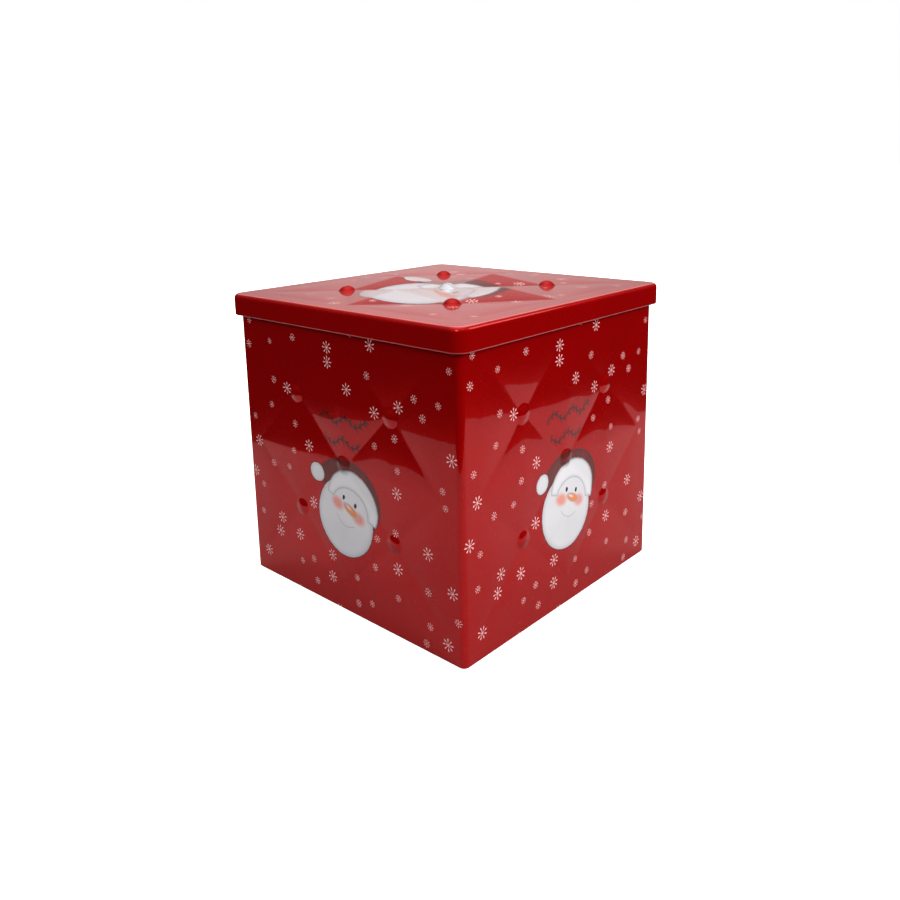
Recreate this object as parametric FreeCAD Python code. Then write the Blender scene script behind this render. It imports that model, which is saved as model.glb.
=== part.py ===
import FreeCAD, Part
import math
import os

Vector = FreeCAD.Vector
upAxis = Vector(0, 0, 1)

# A square cookie tin of drawn and folded tinplate: a wrap-round wall, a base plate and a lift-off lid.
# Millimetres. Origin: middle of the tin on the surface it stands on, +Z up, one side square to each axis.

# Overall sizes
wall_side = 158.0            # outside of the wall, flat to flat
tin_height = 157.0           # standing surface to the flat border of the lid
sheet = 0.3                  # thickness of the tinplate

# Wall
wall_corner_radius = 3.2     # outside
curl_radius = 0.9            # outside radius of the rolled top edge
curl_turn = 280.0            # degrees that the edge is rolled through
hem_width = 1.6              # bottom hem, across its two legs
hem_height = 3.2             # inner leg of the hem, which carries the base plate
hem_bend = 0.5               # outside radius of the hem's two bends
seam_width = 4.0             # folded seam down the inside of a back corner
seam_thickness = 0.6
seam_corner_gap = 0.4        # from the start of the corner's bend to the seam

# Embossing of the wall: a tufted panel with five raised buttons on each side
side_border = 11.3           # flat border at the left and right of a panel
side_border_bottom = 14.0
side_border_top = 15.0       # from the top of the tin
side_button_inset_across = 32.9   # edge of the panel to the outer buttons
side_button_inset_up = 33.0
side_apex = 0.35             # peaks of the tufts over the flat border
side_valley = 1.2            # feet of the buttons below the flat border

# Lid
slide_clearance = 0.35       # rolled edge of the wall to the lid's hem, all round
lid_seat_clearance = 0.3     # top of the wall's rolled edge to the underside of the lid
lid_hem_radius = 0.9
lid_hem_turn = 280.0
lid_skirt_depth = 11.5
lid_edge_radius = 2.4        # outside, from the top into the skirt
lid_border = 10.65           # flat border round the lid's tufted panel
lid_button_inset = 34.0
lid_apex = 3.5
lid_valley = 0.4

# Raised buttons, on the wall and on the lid
button_diameter = 9.4
side_button_height = 1.4     # over the low point of the tufts that it stands in
lid_button_height = 3.0
button_root = 0.6            # how far the ball of a button goes on below its foot, inside the sheet

# Base plate
base_fit = 0.05              # flange to wall, and plate to hem
base_flange_gap = 0.55       # flange's edge to the foot of the hem
base_panel_inset = 9.0       # wall to the raised middle panel
base_panel_rise = 0.6
base_panel_slope = 1.2       # width of the sloping step round it

# Worked out from the sizes above
wall_half = wall_side / 2
curl_proud = 2 * curl_radius - sheet
lid_overhang = curl_proud + slide_clearance + 2 * lid_hem_radius
lid_half = wall_half + lid_overhang
lid_corner_radius = wall_corner_radius + lid_overhang
wall_top = tin_height - sheet - lid_seat_clearance
panel_low = side_border_bottom
panel_high = tin_height - side_border_top


def polar(centre, radius, degrees):
    """A point of the X-Z plane at an angle from +X about centre, an (x, z) pair."""
    turn = math.radians(degrees)
    return Vector(centre[0] + radius * math.cos(turn), 0, centre[1] + radius * math.sin(turn))


def arc(centre, radius, start, end):
    middle = (start + end) / 2
    return Part.Arc(polar(centre, radius, start), polar(centre, radius, middle),
                    polar(centre, radius, end)).toShape()


def section(pieces):
    """Face in the X-Z plane from arcs and points in order, joined by straight lines and closed."""
    edges = []
    first = None
    last = None
    for piece in pieces + [None]:
        if piece is None:
            start = end = first
        elif isinstance(piece, Vector):
            start = end = piece
        else:
            start = piece.firstVertex(True).Point
            end = piece.lastVertex(True).Point
        if last is not None and (start - last).Length > 1e-6:
            edges.append(Part.LineSegment(last, start).toShape())
        if piece is not None and not isinstance(piece, Vector):
            edges.append(piece)
        first = start if first is None else first
        last = end
    return Part.Face(Part.Wire(edges))


def ring(profile, half, radius):
    """Sweep a section, drawn on the +X side of a rounded square, all the way round that square."""
    straight = half - radius
    run = profile.copy()
    run.translate(Vector(0, -straight, 0))
    side = run.extrude(Vector(0, 2 * straight, 0))
    turn = profile.copy()
    turn.translate(Vector(0, straight, 0))
    corner = turn.revolve(Vector(straight, straight, 0), upAxis, 90)
    pieces = []
    for quarter in range(4):
        for piece in (side, corner):
            turned = piece.copy()
            turned.rotate(Vector(0, 0, 0), upAxis, 90 * quarter)
            pieces.append(turned)
    return pieces[0].multiFuse(pieces[1:]).removeSplitter()


def rounded_plate(half, radius, low, high):
    """Square plate with rounded corners between two heights."""
    plate = Part.makeBox(2 * half, 2 * half, high - low, Vector(-half, -half, low))
    upright = [edge for edge in plate.Edges if abs(edge.tangentAt(edge.FirstParameter).z) > 0.9]
    return plate.makeFillet(radius, upright)


def tuft_facets(half_a, half_b, button_a, button_b, apex, valley):
    """Triangles of a tufted panel: five buttons in a quincunx, a low pyramid between each three or four.

    The panel lies in the X-Y plane with its rim at height 0 and the buttons' feet valley below it.
    """
    centre = Vector(0, 0, -valley)
    triangles = []
    corners = [(1, 1), (-1, 1), (-1, -1), (1, -1)]
    buttons = [Vector(a * button_a, b * button_b, -valley) for a, b in corners]
    rims = [Vector(a * half_a, b * half_b, 0) for a, b in corners]
    middles = [Vector(0, half_b, 0), Vector(-half_a, 0, 0), Vector(0, -half_b, 0), Vector(half_a, 0, 0)]
    peaks = [Vector(0, button_b, apex), Vector(-button_a, 0, apex), Vector(0, -button_b, apex),
             Vector(button_a, 0, apex)]
    for i in range(4):
        after = (i + 1) % 4
        peak = peaks[i]
        diamond = [centre, buttons[i], middles[i], buttons[after]]
        for j in range(4):
            triangles.append((peak, diamond[j], diamond[(j + 1) % 4]))
        triangles.append((buttons[i], rims[i], middles[i]))
        triangles.append((buttons[after], middles[i], rims[after]))
    return triangles, buttons + [centre]


def button(radius, height, foot):
    """Upper part of a ball, standing height above its foot, which sinks it a little into the sheet."""
    low = math.degrees(math.asin((radius - height - button_root) / radius))
    return Part.makeSphere(radius, foot + Vector(0, 0, height - radius), upAxis, low, 90, 360)


def tufted_sheet(half_a, half_b, inset_a, inset_b, apex, valley, button_height):
    """Embossed sheet of even thickness with round buttons pressed out, its top rim at height 0."""
    triangles, buttons = tuft_facets(half_a, half_b, half_a - inset_a, half_b - inset_b, apex, valley)
    depth = valley + 2 * button_root
    prisms = []
    for triangle in triangles:
        facet = Part.Face(Part.makePolygon(list(triangle) + [triangle[0]]))
        prisms.append(facet.extrude(Vector(0, 0, -depth)))
    outside = prisms[0].multiFuse(prisms[1:])
    inside = outside.copy()
    inside.translate(Vector(0, 0, -sheet))
    half_button = button_diameter / 2
    ball_radius = (half_button ** 2 + button_height ** 2) / (2 * button_height)
    for foot in buttons:
        outside = outside.fuse(button(ball_radius, button_height, foot))
        inside = inside.fuse(button(ball_radius - sheet, button_height - sheet, foot))
    return outside.cut(inside).Solids[0]


def body_wall():
    """Wrap-round wall: rolled top edge, four tufted sides, inward hem and the folded seam."""
    face = wall_half
    inner = face - sheet
    hem_inner = face - hem_width
    curl_centre = (inner + curl_radius, wall_top - curl_radius)
    inside_bend = hem_bend - sheet
    profile = section([
        arc((face - hem_bend, hem_bend), hem_bend, 0, -90),
        arc((hem_inner + hem_bend, hem_bend), hem_bend, -90, -180),
        Vector(hem_inner, 0, hem_height),
        Vector(hem_inner + sheet, 0, hem_height),
        arc((hem_inner + hem_bend, hem_bend), inside_bend, -180, -90),
        arc((face - hem_bend, hem_bend), inside_bend, -90, 0),
        arc(curl_centre, curl_radius, 180, 180 - curl_turn),
        arc(curl_centre, curl_radius - sheet, 180 - curl_turn, 180),
    ])
    wall = ring(profile, face, wall_corner_radius)
    panel_half = wall_half - side_border
    panel_height = panel_high - panel_low
    panel = tufted_sheet(panel_half, panel_height / 2, side_button_inset_across, side_button_inset_up,
                         side_apex, side_valley, side_button_height)
    panel.rotate(Vector(0, 0, 0), Vector(1, 0, 0), 90)
    panel.translate(Vector(0, -wall_half, panel_low + panel_height / 2))
    window = Part.makeBox(2 * panel_half, 3 * sheet, panel_height,
                          Vector(-panel_half, -wall_half - sheet, panel_low))
    for quarter in range(4):
        for piece in (panel, window):
            piece.rotate(Vector(0, 0, 0), upAxis, 90)
        wall = wall.cut(window).fuse(panel)
    seam_edge = -wall_half + wall_corner_radius + seam_corner_gap
    seam_low = hem_height + sheet + 2 * base_fit
    seam_high = wall_top - 2 * curl_radius
    seam = Part.makeBox(seam_width, seam_thickness, seam_high - seam_low,
                        Vector(seam_edge, inner - seam_thickness, seam_low))
    return wall.fuse(seam)


def base_plate():
    """Shallow pan upside down: its flange stands in the wall's hem, its middle panel is pressed up."""
    half = wall_half - sheet - base_fit
    radius = wall_corner_radius - sheet - base_fit
    under = hem_height + base_fit
    flange_edge = sheet + base_flange_gap
    plate = rounded_plate(half, radius, flange_edge, under + sheet)
    plate = plate.cut(rounded_plate(half - sheet, radius - sheet, flange_edge, under))
    panel_half = wall_half - base_panel_inset
    step = raised_panel(panel_half, under + sheet)
    hollow = raised_panel(panel_half, under + sheet)
    hollow.translate(Vector(0, 0, -sheet))
    return plate.fuse(step).cut(hollow)


def raised_panel(half, level):
    """Low square frustum of the base plate's middle panel, standing on the given level."""
    squares = []
    for size, height in ((half, level), (half - base_panel_slope, level + base_panel_rise)):
        corners = [Vector(a * size, b * size, height) for a, b in ((1, 1), (-1, 1), (-1, -1), (1, -1))]
        squares.append(Part.makePolygon(corners + [corners[0]]))
    return Part.makeLoft(squares, True, True)


def lid():
    """Pressed lid: tufted top, rounded edge, skirt and an inward-rolled hem."""
    face = lid_half
    hem_centre = (face - lid_hem_radius, tin_height - lid_skirt_depth + lid_hem_radius)
    edge_centre = (face - lid_edge_radius, tin_height - lid_edge_radius)
    rim_width = (lid_edge_radius + lid_corner_radius) / 2
    profile = section([
        arc(edge_centre, lid_edge_radius, 0, 90),
        Vector(face - rim_width, 0, tin_height),
        Vector(face - rim_width, 0, tin_height - sheet),
        arc(edge_centre, lid_edge_radius - sheet, 90, 0),
        arc(hem_centre, lid_hem_radius - sheet, 0, -lid_hem_turn),
        arc(hem_centre, lid_hem_radius, -lid_hem_turn, 0),
    ])
    skirt = ring(profile, face, lid_corner_radius)
    top = rounded_plate(face - rim_width, lid_corner_radius - rim_width, tin_height - sheet, tin_height)
    panel_half = face - lid_border
    window = Part.makeBox(2 * panel_half, 2 * panel_half, 3 * sheet,
                          Vector(-panel_half, -panel_half, tin_height - 2 * sheet))
    panel = tufted_sheet(panel_half, panel_half, lid_button_inset, lid_button_inset,
                         lid_apex, lid_valley, lid_button_height)
    panel.translate(Vector(0, 0, tin_height))
    return skirt.fuse(top.cut(window)).fuse(panel)


os.makedirs("parts", exist_ok=True)
for name, make in (("body_wall", body_wall), ("base_plate", base_plate), ("lid", lid)):
    shape = make().removeSplitter()
    solid = shape.Solids[0]
    print(name, "solids", len(shape.Solids), "faces", len(solid.Faces), "volume", round(solid.Volume, 1),
          "valid", solid.isValid())
    solid.exportStep("parts/" + name + ".step")
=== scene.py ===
import math
import bpy
import numpy as np
from mathutils import Matrix, Vector


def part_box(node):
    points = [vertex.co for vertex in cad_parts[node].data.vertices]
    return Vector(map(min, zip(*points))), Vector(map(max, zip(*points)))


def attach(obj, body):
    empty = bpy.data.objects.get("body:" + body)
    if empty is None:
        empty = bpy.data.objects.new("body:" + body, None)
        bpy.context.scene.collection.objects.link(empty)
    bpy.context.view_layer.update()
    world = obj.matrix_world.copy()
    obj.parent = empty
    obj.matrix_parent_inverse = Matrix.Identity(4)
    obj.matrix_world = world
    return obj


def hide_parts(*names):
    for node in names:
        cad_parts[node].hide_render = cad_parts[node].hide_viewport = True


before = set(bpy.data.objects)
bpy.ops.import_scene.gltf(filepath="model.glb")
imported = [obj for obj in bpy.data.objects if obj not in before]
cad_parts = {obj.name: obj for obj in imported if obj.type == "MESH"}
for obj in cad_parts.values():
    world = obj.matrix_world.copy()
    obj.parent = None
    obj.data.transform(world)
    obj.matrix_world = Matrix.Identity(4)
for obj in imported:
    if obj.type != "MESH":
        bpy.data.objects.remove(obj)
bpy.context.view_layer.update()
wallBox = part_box("body_wall")
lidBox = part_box("lid")
scene = bpy.context.scene
mm = 0.001

sheet = 0.3   # thickness of the tinplate; sizes are in millimetres, and mm turns them into metres


def blurred(field, width):
    # soft, even blur of a height map, width in cells
    reach = int(3 * width) + 1
    weights = np.exp(-0.5 * (np.arange(-reach, reach + 1) / width) ** 2)
    weights /= weights.sum()
    for axis in (0, 1):
        padded = np.pad(field, [(reach, reach) if a == axis else (0, 0) for a in (0, 1)], mode="edge")
        total = np.zeros_like(field)
        for i, weight in enumerate(weights):
            part = [slice(None), slice(None)]
            part[axis] = slice(i, i + field.shape[axis])
            total += weight * padded[tuple(part)]
        field = total
    return field


tuftSlack = 1e-6   # so that no point falls between two facets


def tuftHeight(a, b, halfA, halfB, buttonA, buttonB, look):
    # one quarter of the tufted panel stands for all four: flat facets between buttons, peaks and rim
    a, b = np.abs(a), np.abs(b)
    peak, valley = look["peak"], look["valley"]
    centre, foot = (0, 0, -valley), (buttonA, buttonB, -valley)
    topPeak, sidePeak = (0, buttonB, peak), (buttonA, 0, peak)
    topRim, sideRim, corner = (0, halfB, 0), (halfA, 0, 0), (halfA, halfB, 0)
    diamonds = [(centre, foot, topPeak), (centre, foot, sidePeak), (topPeak, foot, topRim),
                (sidePeak, foot, sideRim)]
    rimTriangles = [(foot, corner, topRim), (foot, corner, sideRim)]
    height = np.zeros_like(a)
    for p, q, r in diamonds + rimTriangles:
        bulge = look["diamondBulge"] if (p, q, r) in diamonds else look["rimBulge"]
        area = (q[0] - p[0]) * (r[1] - p[1]) - (r[0] - p[0]) * (q[1] - p[1])
        second = ((a - p[0]) * (r[1] - p[1]) - (r[0] - p[0]) * (b - p[1])) / area
        third = ((q[0] - p[0]) * (b - p[1]) - (a - p[0]) * (q[1] - p[1])) / area
        first = 1 - second - third
        inside = (first >= -tuftSlack) & (second >= -tuftSlack) & (third >= -tuftSlack)
        flat = first * p[2] + second * q[2] + third * r[2]
        pillow = 27 * first * second * third * bulge   # bulge high in the middle of the facet
        height[inside] = (flat + pillow)[inside]
    return height


# cold-worked sheet is never quite flat: two shallow waves
unevenness = {
    "deep": 0.02,
    "deepWaves": (9.1, 0.7, 7.3, 2.1),
    "shallow": 0.012,
    "shallowWaves": (4.9, 6.1),
}


class Relief:
    # height map of an embossed panel, read between its cells
    cell = 0.2
    margin = 4.0
    nowhere = -9.0   # lower than any sheet

    def __init__(self, halfA, halfB, buttonA, buttonB, look):
        self.halfA, self.halfB = halfA + self.margin, halfB + self.margin
        countA, countB = int(2 * self.halfA / self.cell) + 1, int(2 * self.halfB / self.cell) + 1
        a, b = np.meshgrid(np.linspace(-self.halfA, self.halfA, countA),
                           np.linspace(-self.halfB, self.halfB, countB), indexing="ij")
        field = tuftHeight(a, b, halfA, halfB, buttonA, buttonB, look)
        field = blurred(field, look["creaseSoftness"] / self.cell)
        radius, rise, root = look["buttonRadius"], look["buttonHeight"], look["buttonRoot"]
        ball = (radius ** 2 + rise ** 2) / (2 * rise)
        for signA, signB in ((0, 0), (1, 1), (-1, 1), (-1, -1), (1, -1)):
            away = np.hypot(a - signA * buttonA, b - signB * buttonB)
            cap = np.sqrt(np.maximum(ball ** 2 - away ** 2, 0)) - (ball - rise) - look["valley"]
            cap = np.where(away < ball, cap, self.nowhere)
            # the higher of tuft and button, run together over a small root
            apart = np.clip((cap - field) / root, -1, 1)
            field = np.where(apart > 0, cap, field) + root / 4 * (1 - np.abs(apart)) ** 2
        lengthA, phaseA, lengthB, phaseB = unevenness["deepWaves"]
        field += unevenness["deep"] * np.sin(a / lengthA + phaseA) * np.sin(b / lengthB + phaseB)
        lengthA, lengthB = unevenness["shallowWaves"]
        field += unevenness["shallow"] * np.sin(a / lengthA + b / lengthB)
        edge = np.minimum(self.halfA - np.abs(a), self.halfB - np.abs(b)) / self.margin
        field *= np.clip(edge, 0, 1)
        self.field = field
        slopes = np.gradient(field, a[1, 0] - a[0, 0], b[0, 1] - b[0, 0])
        self.slopeA, self.slopeB = slopes

    def read(self, values, a, b):
        u = (a + self.halfA) / (2 * self.halfA) * (values.shape[0] - 1)
        v = (b + self.halfB) / (2 * self.halfB) * (values.shape[1] - 1)
        inside = (u >= 0) & (v >= 0) & (u <= values.shape[0] - 1) & (v <= values.shape[1] - 1)
        u0 = np.clip(u.astype(int), 0, values.shape[0] - 2)
        v0 = np.clip(v.astype(int), 0, values.shape[1] - 2)
        fu, fv = u - u0, v - v0
        between = (values[u0, v0] * (1 - fu) * (1 - fv) + values[u0 + 1, v0] * fu * (1 - fv)
                   + values[u0, v0 + 1] * (1 - fu) * fv + values[u0 + 1, v0 + 1] * fu * fv)
        return np.where(inside, between, 0.0)

    def at(self, a, b):
        return self.read(self.field, a, b), self.read(self.slopeA, a, b), self.read(self.slopeB, a, b)


def unit(vectors):
    return vectors / np.maximum(np.linalg.norm(vectors, axis=-1, keepdims=True), 1e-12)


def gridPiece(name, printed, normals, flat, materials, wrap=False, thickness=sheet):
    # printed: rows x columns x 3 points of the printed face, bare face one thickness behind it
    rows, columns = printed.shape[:2]
    bare = printed - thickness * normals
    count = rows * columns
    points = np.concatenate([printed.reshape(-1, 3), bare.reshape(-1, 3)]) * mm
    index = np.arange(count).reshape(rows, columns)
    if wrap:
        index = np.concatenate([index, index[:, :1]], axis=1)
    a, b, c, d = index[:-1, :-1], index[:-1, 1:], index[1:, 1:], index[1:, :-1]
    front = np.stack([a, b, c, d], -1).reshape(-1, 4)
    back = front[:, ::-1] + count
    rims = []
    borders = [index[0, ::-1], index[-1, :]]
    if not wrap:
        borders += [index[:, 0], index[::-1, -1]]
    for border in borders:
        start, end = border[:-1], border[1:]
        rims.append(np.stack([start + count, end + count, end, start], -1)[:, ::-1])
    rims = np.concatenate(rims)
    faces = np.concatenate([front, back, rims])
    mesh = bpy.data.meshes.new(name)
    mesh.from_pydata(points.tolist(), [], faces.tolist())
    mesh.polygons.foreach_set("use_smooth", np.ones(len(faces), dtype=bool))
    slots = np.concatenate([np.zeros(len(front), int), np.ones(len(back) + len(rims), int)])
    mesh.polygons.foreach_set("material_index", slots.astype(np.int32))
    for material in materials:
        mesh.materials.append(material)
    # flat sheet coordinates, in millimetres, for the print
    layer = mesh.uv_layers.new(name="sheetPlace")
    flatPoints = np.concatenate([flat.reshape(-1, 2)] * 2)
    layer.data.foreach_set("uv", flatPoints[faces.reshape(-1)].astype(np.float32).reshape(-1))
    # true normals of the formed sheet, and plain ones on its cut edges
    sheetNormals = np.concatenate([normals.reshape(-1, 3), -normals.reshape(-1, 3)])
    cornerNormals = sheetNormals[faces.reshape(-1)].reshape(-1, 4, 3)
    edge1 = points[rims[:, 1]] - points[rims[:, 0]]
    edge2 = points[rims[:, 2]] - points[rims[:, 1]]
    rimNormals = unit(np.cross(edge1, edge2))
    cornerNormals[len(front) + len(back):] = rimNormals[:, None, :]
    mesh.validate()
    mesh.normals_split_custom_set(cornerNormals.reshape(-1, 3).tolist())
    piece = bpy.data.objects.new(name, mesh)
    scene.collection.objects.link(piece)
    return piece


def lineStations(start, end, centres, look):
    # grid lines across a face: close together over the buttons, wider between them
    places = [start]
    while places[-1] < end:
        nearest = min(abs(places[-1] - centre) for centre in centres)
        places.append(places[-1] + (look["fineStep"] if nearest < look["fineReach"] else look["meshStep"]))
    places = np.array(places)
    return start + (places - start) * (end - start) / (places[-1] - start)


def arcPoints(centre, radius, start, end, steps, inward=False):
    # points and outward normals along an arc of a section, as (out, up) pairs
    angles = np.radians(np.linspace(start, end, steps + 1))
    spokes = np.stack([np.cos(angles), np.sin(angles)], -1)
    return np.array(centre) + radius * spokes, -spokes if inward else spokes


def linePoints(start, end, normal, steps):
    share = np.linspace(0, 1, steps + 1)[:, None]
    points = np.array(start) * (1 - share) + np.array(end) * share
    return points, np.repeat(np.array([normal], float), len(points), 0)


def joinedProfile(stretches):
    points, normals = [], []
    for i, (p, n) in enumerate(stretches):
        first = 0 if i == 0 else 1
        points.append(p[first:])
        normals.append(n[first:])
    return np.concatenate(points), np.concatenate(normals)


wall = {
    "half": 79.0,
    "cornerRadius": 3.2,
    "top": wallBox[1][2] / mm,
    "curlRadius": 0.9,
    "curlTurn": 280,
    "hemWidth": 1.6,
    "hemHeight": 3.2,
    "hemBend": 0.5,
    "meshStep": 1.4,
    "fineStep": 0.5,
    "fineReach": 6.0,
    "cornerSteps": 6,
}

sideTufts = {
    "halfWide": 67.7,
    "low": 14.0,
    "high": 142.0,
    "buttonWide": 34.8,
    "buttonHigh": 31.0,
    "peak": 0.35,
    "valley": 1.2,
    "creaseSoftness": 0.75,
    "buttonRadius": 4.7,
    "buttonHeight": 1.4,
    "buttonRoot": 0.6,
    "diamondBulge": 0.12,
    "rimBulge": 0.3,
}


def wallProfile():
    # printed face from the hem's inner leg, under the foot, up the wall and into the rolled edge
    w = wall
    bend, width = w["hemBend"], w["hemWidth"]
    curlHeight = w["top"] - w["curlRadius"]
    curlCentre = (w["curlRadius"] - sheet, curlHeight)
    middle = (sideTufts["low"] + sideTufts["high"]) / 2
    heights = lineStations(bend, curlHeight, [middle + k * sideTufts["buttonHigh"] for k in (-1, 0, 1)], w)
    upright = np.stack([np.zeros_like(heights), heights], -1), np.repeat([[1.0, 0]], len(heights), 0)
    return joinedProfile([
        linePoints((-width, w["hemHeight"]), (-width, bend), (-1, 0), steps=3),
        arcPoints((-width + bend, bend), bend, 180, 270, steps=4),
        linePoints((-width + bend, 0), (-bend, 0), (0, -1), steps=2),
        arcPoints((-bend, bend), bend, -90, 0, steps=5),
        upright,
        arcPoints(curlCentre, w["curlRadius"] - sheet, 180, 180 - w["curlTurn"], steps=16, inward=True),
    ])


def wallSide(name, quarter, relief, materials):
    w = wall
    straight = w["half"] - w["cornerRadius"]
    profile, profileNormals = wallProfile()
    halfCorner = w["cornerRadius"] * math.pi / 4
    across = lineStations(-straight, straight, [k * sideTufts["buttonWide"] for k in (-1, 0, 1)], w)
    s = np.concatenate([
        np.linspace(-straight - halfCorner, -straight, w["cornerSteps"] + 1)[:-1],
        across,
        np.linspace(straight, straight + halfCorner, w["cornerSteps"] + 1)[1:],
    ])
    angle = np.sign(s) * np.maximum(np.abs(s) - straight, 0) / w["cornerRadius"]
    outward = np.stack([np.sin(angle), -np.cos(angle), np.zeros_like(s)], -1)
    along = np.stack([np.cos(angle), np.sin(angle), np.zeros_like(s)], -1)
    foot = np.stack([np.clip(s, -straight, straight), np.full_like(s, -straight), np.zeros_like(s)], -1)
    up = np.array([0, 0, 1.0])
    sGrid, zGrid = np.meshgrid(s, profile[:, 1])
    middle = (sideTufts["low"] + sideTufts["high"]) / 2
    height, slopeS, slopeZ = relief.at(sGrid, zGrid - middle)
    onWall = (np.abs(profile[:, 0]) < 1e-9)[:, None]
    height, slopeS, slopeZ = (np.where(onWall, v, 0) for v in (height, slopeS, slopeZ))
    out = w["cornerRadius"] + profile[:, 0][:, None] + height
    printed = foot[None] + out[..., None] * outward[None] + profile[:, 1][:, None, None] * up
    normals = (profileNormals[:, 0][:, None, None] * outward[None]
               + profileNormals[:, 1][:, None, None] * up
               - slopeS[..., None] * along[None] - slopeZ[..., None] * up)
    normals = unit(normals)
    turn = Matrix.Rotation(math.radians(90 * quarter), 3, "Z")
    turned = np.array(turn)
    printed, normals = printed @ turned.T, normals @ turned.T
    travelled = np.concatenate([[0], np.cumsum(np.linalg.norm(np.diff(profile, axis=0), axis=1))])
    wallStart = np.argmax(onWall[:, 0])
    travelled += profile[wallStart, 1] - travelled[wallStart]
    flat = np.stack([sGrid, np.repeat(travelled[:, None], len(s), 1)], -1)
    return gridPiece(name, printed, normals, flat, materials)


lidTufts = {
    "half": 72.0,
    "button": 38.0,
    "peak": 3.5,
    "valley": 0.4,
    "creaseSoftness": 0.8,
    "buttonRadius": 4.7,
    "buttonHeight": 3.0,
    "buttonRoot": 0.9,
    "diamondBulge": 0.15,
    "rimBulge": 0.4,
}

lid = {
    "half": lidBox[1][0] / mm,
    "border": lidBox[1][2] / mm - lidTufts["peak"],
    "low": lidBox[0][2] / mm,
    "cornerRadius": 6.85,
    "edgeRadius": 2.4,
    "hemRadius": 0.9,
    "hemTurn": 280,
    "meshStep": 1.4,
    "fineStep": 0.45,
    "fineReach": 6.0,
    "straightStep": 6.0,
    "cornerSteps": 12,
}

# from the outside of the skirt in to where the lid's top begins
lidRim = (lid["edgeRadius"] + lid["cornerRadius"]) / 2


def roundedSquare(half, radius, straightStep, cornerSteps):
    # points' corner centres and outward directions once round a rounded square, from the middle of -Y
    straight = half - radius
    steps = int(2 * straight / straightStep)
    centres, outs, walked = [], [], []
    total = 0.0
    for quarter in range(4):
        turn = np.array(Matrix.Rotation(math.radians(90 * quarter), 3, "Z"))
        for share in np.linspace(-1, 1, steps + 1)[:-1]:
            centres.append(turn @ np.array([share * straight, -straight, 0]))
            outs.append(turn @ np.array([0, -1.0, 0]))
            walked.append(total)
            total += 2 * straight / steps
        for share in np.linspace(0, 1, cornerSteps + 1)[:-1]:
            angle = share * math.pi / 2
            centres.append(turn @ np.array([straight, -straight, 0]))
            outs.append(turn @ np.array([math.sin(angle), -math.cos(angle), 0]))
            walked.append(total)
            total += radius * math.pi / 2 / cornerSteps
    return np.array(centres), np.array(outs), np.array(walked)


def lidSkirtPiece(name, materials):
    m = lid
    hemCentre = (-m["hemRadius"], m["low"] + m["hemRadius"])
    edgeCentre = (-m["edgeRadius"], m["border"] - m["edgeRadius"])
    profile, profileNormals = joinedProfile([
        arcPoints(hemCentre, m["hemRadius"], -m["hemTurn"], 0, steps=26),
        linePoints((0, hemCentre[1]), (0, edgeCentre[1]), (1, 0), steps=8),
        arcPoints(edgeCentre, m["edgeRadius"], 0, 90, steps=10),
        linePoints((edgeCentre[0], m["border"]), (-lidRim, m["border"]), (0, 1), steps=2),
    ])
    centres, outs, walked = roundedSquare(m["half"], m["cornerRadius"], m["straightStep"], m["cornerSteps"])
    up = np.array([0, 0, 1.0])
    out = m["cornerRadius"] + profile[:, 0]
    printed = centres[None] + out[:, None, None] * outs[None] + profile[:, 1][:, None, None] * up
    normals = unit(profileNormals[:, 0][:, None, None] * outs[None]
                   + profileNormals[:, 1][:, None, None] * up)
    walkedUp = np.concatenate([[0], np.cumsum(np.linalg.norm(np.diff(profile, axis=0), axis=1))])
    flat = np.stack(np.meshgrid(walked, walkedUp), -1)
    return gridPiece(name, printed, normals, flat, materials, wrap=True)


def lidTopPiece(name, relief, materials):
    # square grid whose corners are drawn in to the rounding of the skirt's inner edge
    half, radius = lid["half"] - lidRim, lid["cornerRadius"] - lidRim
    line = lineStations(-half, half, [k * lidTufts["button"] for k in (-1, 0, 1)], lid)
    x, y = np.meshgrid(line, line)
    start = half - radius
    overX, overY = np.maximum(np.abs(x) - start, 0), np.maximum(np.abs(y) - start, 0)
    drawnIn = np.maximum(overX, overY) / np.maximum(np.hypot(overX, overY), 1e-9)
    x = np.sign(x) * (np.minimum(np.abs(x), start) + overX * drawnIn)
    y = np.sign(y) * (np.minimum(np.abs(y), start) + overY * drawnIn)
    height, slopeX, slopeY = relief.at(x, y)
    printed = np.stack([x, y, lid["border"] + height], -1)
    normals = unit(np.stack([-slopeX, -slopeY, np.ones_like(x)], -1))
    return gridPiece(name, printed, normals, np.stack([x, y], -1), materials)


def feed(tree, socket, value):
    # a number is set on the socket, an output is wired to it
    if isinstance(value, bpy.types.NodeSocket):
        tree.links.new(value, socket)
    else:
        socket.default_value = value


def maths(tree, operation, *values):
    node = tree.nodes.new("ShaderNodeMath")
    node.operation = operation
    for socket, value in zip(node.inputs, values):
        feed(tree, socket, value)
    return node.outputs[0]


def vectorMaths(tree, operation, *values):
    node = tree.nodes.new("ShaderNodeVectorMath")
    node.operation = operation
    for socket, value in zip(node.inputs, values):
        feed(tree, socket, value)
    return node.outputs["Value" if operation in ("LENGTH", "DOT_PRODUCT", "DISTANCE") else "Vector"]


def mixed(tree, share, under, over):
    node = tree.nodes.new("ShaderNodeMix")
    node.data_type = "RGBA"
    feed(tree, node.inputs[0], share)
    feed(tree, node.inputs[6], under)
    feed(tree, node.inputs[7], over)
    return node.outputs[2]


def below(tree, value, edge, softness):
    # 1 where value is under the edge, 0 over it, with a soft step between
    node = tree.nodes.new("ShaderNodeMapRange")
    node.interpolation_type = "SMOOTHSTEP"
    feed(tree, node.inputs["Value"], value)
    node.inputs["From Min"].default_value = edge - softness
    node.inputs["From Max"].default_value = edge + softness
    node.inputs["To Min"].default_value = 1
    node.inputs["To Max"].default_value = 0
    return node.outputs["Result"]


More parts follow.
